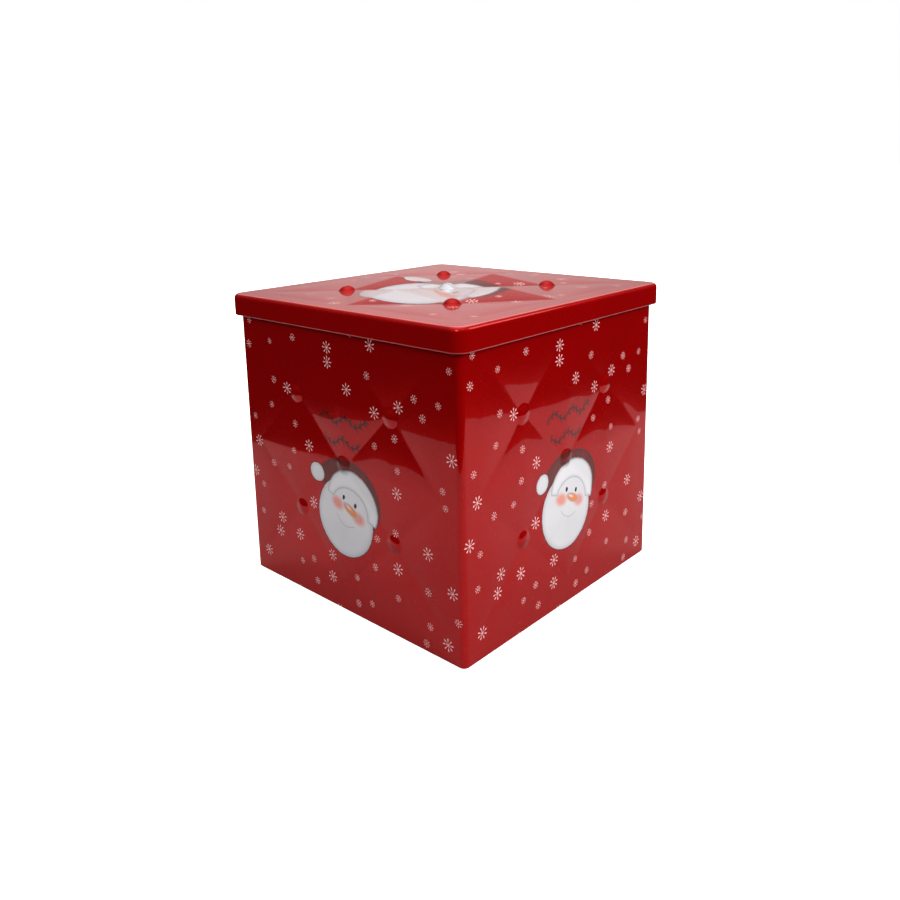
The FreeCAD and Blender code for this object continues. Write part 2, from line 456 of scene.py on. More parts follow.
def parts(tree, vector):
    node = tree.nodes.new("ShaderNodeSeparateXYZ")
    feed(tree, node.inputs[0], vector)
    return node.outputs


def together(tree, x, y, z=0.0):
    node = tree.nodes.new("ShaderNodeCombineXYZ")
    for socket, value in zip(node.inputs, (x, y, z)):
        feed(tree, socket, value)
    return node.outputs[0]


def noise(tree, place, scale, detail=2.0, roughness=0.5):
    node = tree.nodes.new("ShaderNodeTexNoise")
    feed(tree, node.inputs["Vector"], place)
    node.inputs["Scale"].default_value = scale
    node.inputs["Detail"].default_value = detail
    node.inputs["Roughness"].default_value = roughness
    return node.outputs["Fac"]


def newGroup(name, inputs, outputs):
    group = bpy.data.node_groups.new(name, "ShaderNodeTree")
    for label, kind, start in inputs:
        socket = group.interface.new_socket(label, in_out="INPUT", socket_type="NodeSocket" + kind)
        socket.default_value = start
    for label, kind in outputs:
        group.interface.new_socket(label, in_out="OUTPUT", socket_type="NodeSocket" + kind)
    source = group.nodes.new("NodeGroupInput")
    return group, source.outputs, group.nodes.new("NodeGroupOutput").inputs


def placed(tree, group, **values):
    # a group in a tree, with its inputs given by name, spaces left out
    node = tree.nodes.new("ShaderNodeGroup")
    node.node_tree = group
    names = {socket.name.replace(" ", ""): socket for socket in node.inputs}
    for label, value in values.items():
        feed(tree, names[label], value)
    return node.outputs


def inkEllipseGroup():
    # signed distance, in millimetres, to the edge of a turned ellipse
    group, source, result = newGroup(
        "inkEllipse",
        [("Place", "Vector", (0, 0, 0)), ("Centre", "Vector", (0, 0, 0)),
         ("Radii", "Vector", (1, 1, 1)), ("Turn", "Float", 0.0)],
        [("Distance", "Float")])
    away = vectorMaths(group, "SUBTRACT", source["Place"], source["Centre"])
    rotate = group.nodes.new("ShaderNodeVectorRotate")
    rotate.rotation_type = "Z_AXIS"
    feed(group, rotate.inputs["Vector"], away)
    feed(group, rotate.inputs["Angle"], maths(group, "MULTIPLY", source["Turn"], -1.0))
    scaled = vectorMaths(group, "DIVIDE", rotate.outputs[0], source["Radii"])
    flatScaled = vectorMaths(group, "MULTIPLY", scaled, (1, 1, 0))
    reach = vectorMaths(group, "LENGTH", flatScaled)
    radii = parts(group, source["Radii"])
    least = maths(group, "MINIMUM", radii[0], radii[1])
    feed(group, result["Distance"], maths(group, "MULTIPLY", maths(group, "SUBTRACT", reach, 1.0), least))
    return group


def ellipseIn(tree, place, shape):
    centre, radii, turn = shape
    return placed(tree, inkEllipse, Place=place, Centre=(*centre, 0), Radii=(*radii, 1),
                  Turn=math.radians(turn))["Distance"]


# sizes of the arms, drops and heart are shares of a flake's radius
snowflakes = {
    "arms": 8,
    "largeShare": 0.33,
    "largeRadius": 3.35,
    "smallRadius": 1.75,
    "smallSpread": 0.55,
    "armHalf": 0.035,
    "armSoftness": 0.03,
    "armLength": 0.8,
    "dropMiddle": 0.76,
    "dropHalf": (0.24, 0.115),
    "dropEdge": (0.9, 0.25),
    "heart": 0.15,
    "softness": 0.05,
    "turnShare": 0.5,
    "secondDraw": (17.3, 5.1, 9.7),
    "keepDraw": 7.31,
}


def snowflakeGroup():
    # one snowflake in most cells of a staggered grid, its size, place and turn drawn from its cell
    look = snowflakes
    group, source, result = newGroup(
        "snowflakeScatter",
        [("Place", "Vector", (0, 0, 0)), ("Cell", "Float", 19.4), ("Repeat", "Float", 8.0),
         ("Seed", "Float", 0.0), ("Share", "Float", 0.85), ("Keep Clear", "Vector", (0, 0, 0)),
         ("Clear Radii", "Vector", (1, 1, 1)), ("Reach", "Float", 1000.0)],
        [("Ink", "Float")])
    x, y, _ = parts(group, source["Place"])
    column = maths(group, "FLOOR", maths(group, "DIVIDE", x, source["Cell"]))
    stagger = maths(group, "MULTIPLY", maths(group, "FLOORED_MODULO", column, 2.0), 0.5)
    row = maths(group, "FLOOR", maths(group, "ADD", maths(group, "DIVIDE", y, source["Cell"]), stagger))
    draw = group.nodes.new("ShaderNodeTexWhiteNoise")
    draw.noise_dimensions = "3D"
    cellKey = together(group, maths(group, "FLOORED_MODULO", column, source["Repeat"]), row, source["Seed"])
    feed(group, draw.inputs["Vector"], cellKey)
    redraw = group.nodes.new("ShaderNodeTexWhiteNoise")
    redraw.noise_dimensions = "3D"
    feed(group, redraw.inputs["Vector"], vectorMaths(group, "ADD", cellKey, look["secondDraw"]))
    first, second, third = parts(group, draw.outputs["Color"])
    fourth, fifth, _ = parts(group, redraw.outputs["Color"])
    isLarge = maths(group, "LESS_THAN", third, look["largeShare"])
    smallSize = maths(group, "MULTIPLY_ADD", fourth, look["smallSpread"], look["smallRadius"])
    sizeGap = maths(group, "SUBTRACT", look["largeRadius"], smallSize)
    radius = maths(group, "MULTIPLY_ADD", isLarge, sizeGap, smallSize)
    # the centre may wander as far as the flake stays in its own cell
    room = maths(group, "SUBTRACT", maths(group, "MULTIPLY", source["Cell"], 0.5), radius)
    shiftX = maths(group, "MULTIPLY", maths(group, "MULTIPLY_ADD", first, 2.0, -1.0), room)
    shiftY = maths(group, "MULTIPLY", maths(group, "MULTIPLY_ADD", second, 2.0, -1.0), room)
    middleX = maths(group, "MULTIPLY", maths(group, "ADD", column, 0.5), source["Cell"])
    rowMiddle = maths(group, "SUBTRACT", maths(group, "ADD", row, 0.5), stagger)
    middleY = maths(group, "MULTIPLY", rowMiddle, source["Cell"])
    centre = together(group, maths(group, "ADD", middleX, shiftX), maths(group, "ADD", middleY, shiftY))
    away = vectorMaths(group, "DIVIDE", vectorMaths(group, "SUBTRACT", source["Place"], centre),
                       together(group, radius, radius, 1.0))
    awayX, awayY, _ = parts(group, away)
    reach = vectorMaths(group, "LENGTH", together(group, awayX, awayY))
    armTurn = 2 * math.pi / look["arms"]
    turned = maths(group, "MULTIPLY", fifth, look["turnShare"])
    angle = maths(group, "ADD", maths(group, "ARCTAN2", awayY, awayX), turned)
    folded = maths(group, "SUBTRACT", maths(group, "FLOORED_MODULO", angle, armTurn), armTurn / 2)
    alongArm = maths(group, "MULTIPLY", reach, maths(group, "COSINE", folded))
    acrossArm = maths(group, "ABSOLUTE", maths(group, "MULTIPLY", reach, maths(group, "SINE", folded)))
    armWidth = below(group, acrossArm, look["armHalf"], look["armSoftness"])
    arm = maths(group, "MULTIPLY", armWidth, below(group, alongArm, look["armLength"], look["softness"]))
    pastDrop = maths(group, "SUBTRACT", alongArm, look["dropMiddle"])
    drop = vectorMaths(group, "LENGTH", together(
        group, maths(group, "DIVIDE", pastDrop, look["dropHalf"][0]),
        maths(group, "DIVIDE", acrossArm, look["dropHalf"][1])))
    heart = below(group, reach, look["heart"], look["softness"])
    ink = maths(group, "MAXIMUM", maths(group, "MAXIMUM", arm, heart), below(group, drop, *look["dropEdge"]))
    keepDraw = maths(group, "FRACT", maths(group, "MULTIPLY", fifth, look["keepDraw"]))
    kept = maths(group, "LESS_THAN", keepDraw, source["Share"])
    clearance = vectorMaths(group, "LENGTH", vectorMaths(
        group, "DIVIDE", vectorMaths(group, "SUBTRACT", centre, source["Keep Clear"]), source["Clear Radii"]))
    outside = maths(group, "GREATER_THAN", clearance, 1.0)
    # none is cut by the edge of the panel
    centreX, centreY, _ = parts(group, centre)
    furthest = maths(group, "MAXIMUM", maths(group, "ABSOLUTE", centreX), maths(group, "ABSOLUTE", centreY))
    outside = maths(group, "MULTIPLY", outside, maths(group, "LESS_THAN", furthest, source["Reach"]))
    feed(group, result["Ink"], maths(group, "MULTIPLY", ink, maths(group, "MULTIPLY", kept, outside)))
    return group


snowman = {
    "head": ((0, 0), (20.3, 20.0), 0),
    "dome": ((3, 13.5), (19.0, 17.6), 0),
    "tail": ((-12.5, 20.0), (14.0, 6.4), 38),
    "pompom": ((-25.0, 12.7), (5.1, 5.0), 0),
    "brimOutside": ((2.8, 9.5), (18.0, 16.6), 0),
    "brimInside": ((2.4, 5.0), (13.6, 12.2), 0),
    "cheeks": [((-6.6, 5.2), (4.6, 3.2), 0), ((9.2, 5.2), (4.6, 3.2), 0)],
    "eyes": [((-3.3, 10.4), (0.95, 1.3), 0), ((5.4, 10.4), (0.95, 1.3), 0)],
    "nose": ((3.2, 6.4), (4.9, 1.9), -10),
    "noseShine": ((1.4, 7.2), (1.8, 0.5), -10),
    "smile": ((1.2, 4.4), (8.6, 7.6), 0),
    "smileTop": -0.4,
    "brow": 7.5,          # the brim stops here, above the face
    "furScale": 0.55,
    "furDepth": 0.5,
    "furShade": 0.55,
    "foldScale": 0.16,
    "foldStretch": (1.0, 0.35, 1.0),
    "foldShade": 0.9,
    "blotchScale": 0.07,
    "blotchShade": 0.35,
    # where a shade ends and how softly, in millimetres from the shape's edge
    "hatFade": (0.2, 1.8),
    "headFade": (0.6, 2.6),
    "blushEdge": (-0.3, 1.6),
    "smileEdge": (0.2, 0.2),
    "noseOutline": (0.45, 0.35),
    "shineEdge": (0, 0.5),
    "brimOutline": (0.55, 0.45),
    "brimFade": (0.6, 1.4),
    "bobbleOutline": (0.7, 0.5),
    "bobbleFade": (0.8, 1.6),
    "coverEdge": (0.55, 0.75),
    "whiteEdge": (0.1, 0.3),
    "crisp": (0, 0.15),
    "soft": (0, 0.2),
    "snowColour": (0.61, 0.59, 0.61, 1),
    "snowShade": (0.34, 0.34, 0.37, 1),
    "hatColour": (0.17, 0.022, 0.018, 1),
    "hatFold": (0.075, 0.010, 0.010, 1),
    "outlineColour": (0.11, 0.012, 0.010, 1),
    "blushColour": (0.62, 0.24, 0.19, 1),
    "noseColour": (0.62, 0.20, 0.07, 1),
    "eyeColour": (0.020, 0.010, 0.008, 1),
}


def snowmanGroup():
    # generic snowman's head in a bobble hat
    group, source, result = newGroup("snowmanHead", [("Place", "Vector", (0, 0, 0))],
                                     [("Color", "Color"), ("Cover", "Float"), ("White Ink", "Float")])
    look, place = snowman, source["Place"]
    _, height, _ = parts(group, place)
    fuzz = maths(group, "SUBTRACT", noise(group, place, look["furScale"], 3.0), 0.5)
    fuzz = maths(group, "MULTIPLY", fuzz, look["furDepth"])

    def distance(shape):
        return ellipseIn(group, place, shape)

    def least(first, second):
        return maths(group, "MINIMUM", first, second)

    def furry(first):
        return maths(group, "ADD", first, fuzz)

    head, pompom = furry(distance(look["head"])), furry(distance(look["pompom"]))
    hat = least(distance(look["dome"]), distance(look["tail"]))
    brimOutside, brimInside = furry(distance(look["brimOutside"])), furry(distance(look["brimInside"]))
    whole = least(least(head, pompom), least(hat, brimOutside))
    folds = noise(group, vectorMaths(group, "MULTIPLY", place, look["foldStretch"]), look["foldScale"], 2.0)
    folds = maths(group, "MULTIPLY", folds, look["foldShade"])
    hatColour = mixed(group, folds, look["hatColour"], look["hatFold"])
    hatRim = below(group, maths(group, "ABSOLUTE", hat), *look["hatFade"])
    hatColour = mixed(group, hatRim, hatColour, look["hatFold"])
    # the ink under everything spreads a little past the shapes
    colour = mixed(group, below(group, hat, *look["crisp"]), look["outlineColour"], hatColour)
    headRim = below(group, maths(group, "MULTIPLY", head, -1.0), *look["headFade"])
    snow = mixed(group, headRim, look["snowColour"], look["snowShade"])
    blotches = maths(group, "MULTIPLY", noise(group, place, look["blotchScale"], 2.0), look["blotchShade"])
    snow = mixed(group, blotches, snow, look["snowShade"])
    for cheek in look["cheeks"]:
        snow = mixed(group, below(group, distance(cheek), *look["blushEdge"]), snow, look["blushColour"])
    smileLine = below(group, maths(group, "ABSOLUTE", distance(look["smile"])), *look["smileEdge"])
    smileLine = maths(group, "MULTIPLY", smileLine, below(group, height, look["smileTop"], 0.5))
    snow = mixed(group, smileLine, snow, look["snowShade"])
    noseEdge = distance(look["nose"])
    snow = mixed(group, below(group, noseEdge, *look["noseOutline"]), snow, look["snowShade"])
    snow = mixed(group, below(group, noseEdge, *look["soft"]), snow, look["noseColour"])
    shine = below(group, distance(look["noseShine"]), *look["shineEdge"])
    snow = mixed(group, shine, snow, look["snowColour"])
    for eye in look["eyes"]:
        snow = mixed(group, below(group, distance(eye), *look["crisp"]), snow, look["eyeColour"])
    colour = mixed(group, below(group, head, *look["soft"]), colour, snow)
    # fur brim: between two ovals, above the face
    brim = maths(group, "MAXIMUM", brimOutside, maths(group, "MULTIPLY", brimInside, -1.0))
    brim = maths(group, "MAXIMUM", brim, maths(group, "SUBTRACT", look["brow"], height))
    colour = mixed(group, below(group, brim, *look["brimOutline"]), colour, look["snowShade"])
    furShade = below(group, maths(group, "MULTIPLY", brim, -1.0), *look["brimFade"])
    furShade = maths(group, "MULTIPLY", furShade, look["furShade"])
    fur = mixed(group, furShade, look["snowColour"], look["snowShade"])
    colour = mixed(group, below(group, brim, *look["soft"]), colour, fur)
    bobbleShade = below(group, maths(group, "MULTIPLY", pompom, -1.0), *look["bobbleFade"])
    bobbleShade = maths(group, "MULTIPLY", bobbleShade, look["furShade"])
    bobble = mixed(group, bobbleShade, look["snowColour"], look["snowShade"])
    colour = mixed(group, below(group, pompom, *look["bobbleOutline"]), colour, look["outlineColour"])
    colour = mixed(group, below(group, pompom, *look["soft"]), colour, bobble)
    feed(group, result["Color"], colour)
    feed(group, result["Cover"], below(group, whole, *look["coverEdge"]))
    white = least(least(head, pompom), brimOutside)
    feed(group, result["White Ink"], below(group, white, *look["whiteEdge"]))
    return group


garland = {
    "rows": [((-16.5, 20.0), 101.5, 1.9, 0.0), ((-13.0, 13.0), 90.0, 1.7, 1.4)],
    "waveLength": 15.0,
    "stem": 0.55,
    "leafSpacing": 3.4,
    "leafLength": 3.1,
    "leafWidth": 1.0,
    "leafLean": 0.8,
    "softness": 0.12,
    "leafEnd": 0.1,
    "sprigEnd": 0.4,
    "ink": (0.035, 0.006, 0.005, 1),
}


def garlandGroup():
    # two short waving sprigs with paired needles
    group, source, result = newGroup("firGarland", [("Place", "Vector", (0, 0, 0))], [("Ink", "Float")])
    look = garland
    x, y, _ = parts(group, source["Place"])
    total = 0.0
    for (start, end), height, swing, phase in look["rows"]:
        angle = maths(group, "MULTIPLY_ADD", x, 2 * math.pi / look["waveLength"], phase)
        wave = maths(group, "MULTIPLY", maths(group, "SINE", angle), swing)
        off = maths(group, "SUBTRACT", maths(group, "SUBTRACT", y, height), wave)
        side = maths(group, "ABSOLUTE", off)
        stem = below(group, side, look["stem"], look["softness"])
        # needles lean forward along the sprig
        lean = maths(group, "SUBTRACT", x, maths(group, "MULTIPLY", side, look["leafLean"]))
        beat = maths(group, "PINGPONG", lean, look["leafSpacing"] / 2)
        taper = -look["leafWidth"] / look["leafLength"]
        narrowing = maths(group, "MULTIPLY_ADD", side, taper, look["leafWidth"])
        needle = below(group, maths(group, "SUBTRACT", beat, narrowing), 0.0, look["softness"])
        needle = maths(group, "MULTIPLY", needle, below(group, side, look["leafLength"], look["leafEnd"]))
        row = maths(group, "MAXIMUM", stem, needle)
        middle, half = (start + end) / 2, (end - start) / 2
        along = maths(group, "ABSOLUTE", maths(group, "SUBTRACT", x, middle))
        within = below(group, along, half, look["sprigEnd"])
        total = maths(group, "MAXIMUM", total, maths(group, "MULTIPLY", row, within))
    feed(group, result["Ink"], total)
    return group


lacquer = {
    "peelScale": 900.0,
    "peelShare": 0.35,
    "swayScale": 70.0,
    "hairScale": (260, 3000, 900),
    "hairEdge": (0.30, 0.03),
    "hairDepth": 0.3,
    "hairDulling": 0.12,
    "cloudScale": 24.0,
    "cloudDulling": 0.10,
    "glossiest": 0.05,
    "depth": 0.00002,
}


def lacquerGroup():
    # clear varnish over print: very fine orange peel, a few hairline scuffs, slight changes of gloss
    look = lacquer
    group, source, result = newGroup(
        "lacquerSurface",
        [("Peel", "Float", 1.0), ("Gloss", "Float", 0.14), ("Scuffs", "Float", 0.5)],
        [("Height", "Float"), ("Roughness", "Float"), ("Tone", "Float")])
    here = group.nodes.new("ShaderNodeTexCoord").outputs["Object"]
    peel = maths(group, "MULTIPLY", noise(group, here, look["peelScale"], 2.0), look["peelShare"])
    sway = noise(group, here, look["swayScale"], 1.0)
    height = maths(group, "MULTIPLY", maths(group, "ADD", peel, sway), source["Peel"])
    hair = noise(group, vectorMaths(group, "MULTIPLY", here, look["hairScale"]), 1.0, 3.0)
    hair = maths(group, "MULTIPLY", below(group, hair, *look["hairEdge"]), source["Scuffs"])
    cloud = noise(group, here, look["cloudScale"], 4.0, 0.6)
    away = maths(group, "SUBTRACT", cloud, 0.5)
    rough = maths(group, "MULTIPLY_ADD", away, look["cloudDulling"], source["Gloss"])
    rough = maths(group, "MULTIPLY_ADD", hair, look["hairDulling"], rough)
    hairDepth = maths(group, "MULTIPLY", hair, look["hairDepth"])
    feed(group, result["Height"], maths(group, "SUBTRACT", height, hairDepth))
    feed(group, result["Roughness"], maths(group, "MAXIMUM", rough, look["glossiest"]))
    feed(group, result["Tone"], cloud)
    return group


inkEllipse = inkEllipseGroup()
snowflakeScatter = snowflakeGroup()
snowmanHead = snowmanGroup()
firGarland = garlandGroup()
lacquerSurface = lacquerGroup()
print("ink and lacquer groups made")


redLacquer = {
    "colour": (0.66, 0.001, 0.002, 1),
    "deepColour": (0.56, 0.0005, 0.001, 1),
    "metal": 0.70,
    "whiteFlake": (0.84, 0.55, 0.55, 1),
    "gloss": 0.22,
    "scuffs": 0.5,
    "peel": 1.0,
    "specular": 0.2,
    "coatRoughness": 0.03,
    "coatIor": 1.45,
}


def newMaterial(name):
    material = bpy.data.materials.new(name)
    material.use_nodes = True
    tree = material.node_tree
    tree.nodes.clear()
    shader = tree.nodes.new("ShaderNodeBsdfPrincipled")
    tree.links.new(shader.outputs[0], tree.nodes.new("ShaderNodeOutputMaterial").inputs[0])
    return material, tree, shader.inputs


def bumped(tree, height, distance):
    node = tree.nodes.new("ShaderNodeBump")
    node.inputs["Strength"].default_value = 1.0
    node.inputs["Distance"].default_value = distance
    feed(tree, node.inputs["Height"], height)
    return node.outputs[0]


def lacquered(name, printOn):
    # red translucent lacquer over tin, with the ink that printOn adds
    material, tree, shader = newMaterial(name)
    surface = placed(tree, lacquerSurface, Peel=redLacquer["peel"], Gloss=redLacquer["gloss"],
                     Scuffs=redLacquer["scuffs"])
    colour = mixed(tree, surface["Tone"], redLacquer["colour"], redLacquer["deepColour"])
    place = tree.nodes.new("ShaderNodeUVMap")
    place.uv_map = "sheetPlace"
    colour, opaque = printOn(tree, place.outputs[0], colour)
    bare = maths(tree, "SUBTRACT", 1.0, opaque)
    feed(tree, shader["Base Color"], colour)
    feed(tree, shader["Metallic"], maths(tree, "MULTIPLY", bare, redLacquer["metal"]))
    feed(tree, shader["Roughness"], surface["Roughness"])
    feed(tree, shader["Normal"], bumped(tree, surface["Height"], lacquer["depth"]))
    shader["Specular IOR Level"].default_value = redLacquer["specular"]
    shader["Coat Weight"].default_value = 1.0
    shader["Coat Roughness"].default_value = redLacquer["coatRoughness"]
    shader["Coat IOR"].default_value = redLacquer["coatIor"]
    return material


def emblem(tree, place, look):
    away = vectorMaths(tree, "SUBTRACT", place, (*look["centre"], 0))
    rotate = tree.nodes.new("ShaderNodeVectorRotate")
    rotate.rotation_type = "Z_AXIS"
    rotate.inputs["Angle"].default_value = -math.radians(look["tilt"])
    feed(tree, rotate.inputs["Vector"], away)
    shrunk = vectorMaths(tree, "MULTIPLY", rotate.outputs[0], (1 / look["scale"], 1 / look["scale"], 0))
    return placed(tree, snowmanHead, Place=shrunk)


def flakes(tree, place, look, cell, reach):
    return placed(tree, snowflakeScatter, Place=place, Cell=cell, Repeat=look["repeat"], Seed=look["seed"],
                  Share=look["share"], KeepClear=(*look["clear"], 0),
                  ClearRadii=(*look["clearRadii"], 1), Reach=reach)["Ink"]


# how far each ink hides the metal under it
inkCover = {"flake": 0.8, "dark": 0.7}

onSide = {
    "centre": (0.0, 50.7),
    "tilt": -17,
    "scale": 1.0,
    "clear": (0.0, 72.0),
    "clearRadii": (25.0, 39.0),
    "seed": 3.0,
    "repeat": 10.0,        # flake cells across a side, so that the print meets itself at the corners
    "share": 0.72,
    "flakeInk": 0.85,
    "sprigInk": 0.92,
}


def sidePrint(tree, place, colour):
    faceWidth = 2 * (wall["half"] - wall["cornerRadius"]) + wall["cornerRadius"] * math.pi / 2
    ink = flakes(tree, place, onSide, faceWidth / onSide["repeat"], reach=1000.0)
    colour = mixed(tree, maths(tree, "MULTIPLY", ink, onSide["flakeInk"]), colour, redLacquer["whiteFlake"])
    sprig = placed(tree, firGarland, Place=place)["Ink"]
    colour = mixed(tree, maths(tree, "MULTIPLY", sprig, onSide["sprigInk"]), colour, garland["ink"])
    head = emblem(tree, place, onSide)
    colour = mixed(tree, head["Cover"], colour, head["Color"])
    opaque = maths(tree, "MAXIMUM", maths(tree, "MULTIPLY", ink, inkCover["flake"]), head["White Ink"])
    dark = maths(tree, "MULTIPLY", maths(tree, "MAXIMUM", head["Cover"], sprig), inkCover["dark"])
    return colour, maths(tree, "MAXIMUM", opaque, dark)


onLid = {
    "centre": (4.0, -25.0),
    "tilt": -17,
    "scale": 1.55,
    "clear": (-3.0, -18.0),
    "clearRadii": (42.0, 40.0),
    "seed": 11.0,
    "repeat": 1000.0,
    "share": 0.9,
    "cell": 18.3,
    "edgeRoom": 0.5,
    # share of black mixed into the lid's snowman: painted shade, darker than the same print on the sides
    "dimmed": 0.2,
}


def lidPrint(tree, place, colour):
    reach = lid["half"] - lidRim - snowflakes["largeRadius"] - onLid["edgeRoom"]
    ink = flakes(tree, place, onLid, onLid["cell"], reach)
    colour = mixed(tree, ink, colour, redLacquer["whiteFlake"])
    head = emblem(tree, place, onLid)
    # painted shade: the lid's snowman is darkened towards black
    shadedHeadColour = mixed(tree, onLid["dimmed"], head["Color"], (0, 0, 0, 1))
    colour = mixed(tree, head["Cover"], colour, shadedHeadColour)
    opaque = maths(tree, "MAXIMUM", maths(tree, "MULTIPLY", ink, inkCover["flake"]), head["White Ink"])
    dark = maths(tree, "MULTIPLY", head["Cover"], inkCover["dark"])
    return colour, maths(tree, "MAXIMUM", opaque, dark)


# painted highlights: pale lines along the lid's rolled hem and its top edge, standing for light caught on
# these roundings
paintedEdgeHighlights = {
    "lines": [(3.8, 0.2, 0.15, 0.55), (15.6, 0.4, 0.5, 0.85)],   # place, half width, softness, share
    "colour": (0.90, 0.28, 0.27, 1),
    "patchScale": 0.05,
    "patchRange": (0.6, 0.8),
    "cover": 0.6,
}


def skirtPaintedHighlights(tree, place, colour):
    # no print on the skirt, only the painted highlight lines
    _, along, _ = parts(tree, place)
    least, spread = paintedEdgeHighlights["patchRange"]
    patchy = maths(tree, "MULTIPLY_ADD", noise(tree, place, paintedEdgeHighlights["patchScale"], 3.0), spread, least)
    paintedHighlight = 0.0
    for middle, half, softness, share in paintedEdgeHighlights["lines"]:
        away = maths(tree, "ABSOLUTE", maths(tree, "SUBTRACT", along, middle))
        line = maths(tree, "MULTIPLY", below(tree, away, half, softness), share)
        paintedHighlight = maths(tree, "MAXIMUM", paintedHighlight, line)
    # painted highlight, broken up by noise
    paintedHighlight = maths(tree, "MULTIPLY", paintedHighlight, patchy)
    return mixed(tree, paintedHighlight, colour, paintedEdgeHighlights["colour"]), maths(tree, "MULTIPLY", paintedHighlight, paintedEdgeHighlights["cover"])


tinplate = {
    "bright": (0.70, 0.69, 0.67, 1),
    "dull": (0.56, 0.56, 0.56, 1),
    "metal": 0.85,
    "lineScale": (40, 40, 2600),
    "bloomScale": 45.0,
    "roughness": 0.20,
    "bloomDulling": 0.16,
    "lineDulling": 0.08,
    "bloomDepth": 0.5,
    "depth": 0.00002,
}


def bareTin(name):
    # bright tinplate: rolling lines, faint bloom and a little handling haze
    look = tinplate
    material, tree, shader = newMaterial(name)
    here = tree.nodes.new("ShaderNodeTexCoord").outputs["Object"]
    lines = noise(tree, vectorMaths(tree, "MULTIPLY", here, look["lineScale"]), 1.0, 4.0, 0.7)
    bloom = noise(tree, here, look["bloomScale"], 5.0, 0.65)
    feed(tree, shader["Base Color"], mixed(tree, bloom, look["bright"], look["dull"]))
    shader["Metallic"].default_value = look["metal"]
    rough = maths(tree, "MULTIPLY_ADD", bloom, look["bloomDulling"], look["roughness"])
    feed(tree, shader["Roughness"], maths(tree, "MULTIPLY_ADD", lines, look["lineDulling"], rough))
    height = maths(tree, "ADD", lines, maths(tree, "MULTIPLY", bloom, look["bloomDepth"]))
    feed(tree, shader["Normal"], bumped(tree, height, look["depth"]))
    return material


tinInside = bareTin("bareTinplate")
sideRed = lacquered("printedSideLacquer", sidePrint)
lidRed = lacquered("printedLidLacquer", lidPrint)
skirtRed = lacquered("skirtLacquerPaintedHighlights", skirtPaintedHighlights)
print("materials made")


sideRelief = Relief(sideTufts["halfWide"], (sideTufts["high"] - sideTufts["low"]) / 2,
                    sideTufts["buttonWide"], sideTufts["buttonHigh"], sideTufts)
lidRelief = Relief(lidTufts["half"], lidTufts["half"], lidTufts["button"], lidTufts["button"], lidTufts)

for quarter, side in enumerate(("front", "right", "back", "left")):
    piece = wallSide("wall_" + side, quarter, sideRelief, [sideRed, tinInside])
    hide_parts("body_wall")
    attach(piece, "tin")
print("wall made")

for piece in (lidTopPiece("lid_top", lidRelief, [lidRed, tinInside]),
              lidSkirtPiece("lid_skirt", [skirtRed, tinInside])):
    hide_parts("lid")
    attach(piece, "lid")
print("lid made")

seam = {
    "start": -75.4,
    "wide": 4.0,
    "thick": 0.6,
    "low": 3.6,
    "high": 154.6,
    "fold": 0.3,
    "foldRise": [0.1, 0.6, 0.9, 1.0],   # shares of the thickness, from the edge inwards
    "rows": 40,
    "sunk": 0.02,
}


def seamPiece(name, materials):
    # folded side seam: a low strip with rounded edges, flat on the inside of the back wall
    rise = seam["foldRise"]
    across = [step * seam["fold"] / 2 for step in range(len(rise))]
    offsets = np.array(across + [seam["wide"] - a for a in across[::-1]])
    heights = np.array(rise + rise[::-1]) * seam["thick"]
    levels = np.linspace(seam["low"], seam["high"], seam["rows"])
    x, z = np.meshgrid(seam["start"] + offsets, levels)
    y = np.broadcast_to(wall["half"] - sheet - heights, x.shape)
    printed = np.stack([x, y, z], -1)
    slope = np.broadcast_to(np.gradient(heights, offsets), x.shape)
    normals = unit(np.stack([-slope, -np.ones_like(x), np.zeros_like(x)], -1))
    thickness = rise[0] * seam["thick"] + seam["sunk"]
    return gridPiece(name, printed, normals, np.stack([x, z], -1), materials, thickness=thickness)


seamStrip = seamPiece("side_seam", [tinInside, tinInside])
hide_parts("body_wall")
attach(seamStrip, "tin")

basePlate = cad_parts["base_plate"]
basePlate.data.materials.clear()
basePlate.data.materials.append(tinInside)


studio = {
    "floorRadius": 30.0,
    "floorLevel": -0.0003,
    "floorColour": (0.9, 0.9, 0.9, 1),
    "floorGlow": 0.8,
    "tableRadius": 0.363,
    "tableCentre": (0.015, 0.025),
    "tableLevel": -0.0002,
    "tableColour": (0.18, 0.18, 0.18, 1),
    "backdropTurn": 42.7,
    "backdropRise": 9,
    "backdropSpread": 0.08,
    "backdropColour": (0.62, 0.43, 0.42, 1),
    "ceiling": 0.8,
    "ceilingSpread": 0.2,
    "room": 0.004,
    "aim": (0, 0, 0.08),
    "overcast": 1.6,
    "overcastSpread": 120,
    # name, place, size, energy, mirrored in the gloss
    "softboxes": [
        ("keySoftbox", (1.3, 0.15, 0.75), 0.8, 30, False),
        ("fillSoftbox", (-1.0, -0.95, 0.8), 0.5, 4.5, False),
        ("frontSoftbox", (-0.3, -1.5, 0.7), 1.0, 12, False),
        ("backSoftbox", (-0.75, 0.85, 0.95), 1.0, 16, False),
        ("rightEdgeSoftbox", (0.75, 0.95, 0.85), 0.45, 0.8, True),
        ("leftEdgeSoftbox", (-1.0, -0.95, 0.8), 0.5, 0.8, True),
        ("cornerSoftbox", (0.68, -1.13, 0.9), 0.4, 2, True),
    ],
}

def flatDisc(name, radius, centre, level, steps=96):
    angles = np.linspace(0, 2 * math.pi, steps, endpoint=False)
    points = [(centre[0] + radius * math.cos(t), centre[1] + radius * math.sin(t), level) for t in angles]
    mesh = bpy.data.meshes.new(name)
    mesh.from_pydata(points, [], [list(range(steps))])
    disc = bpy.data.objects.new(name, mesh)
    scene.collection.objects.link(disc)
    return disc


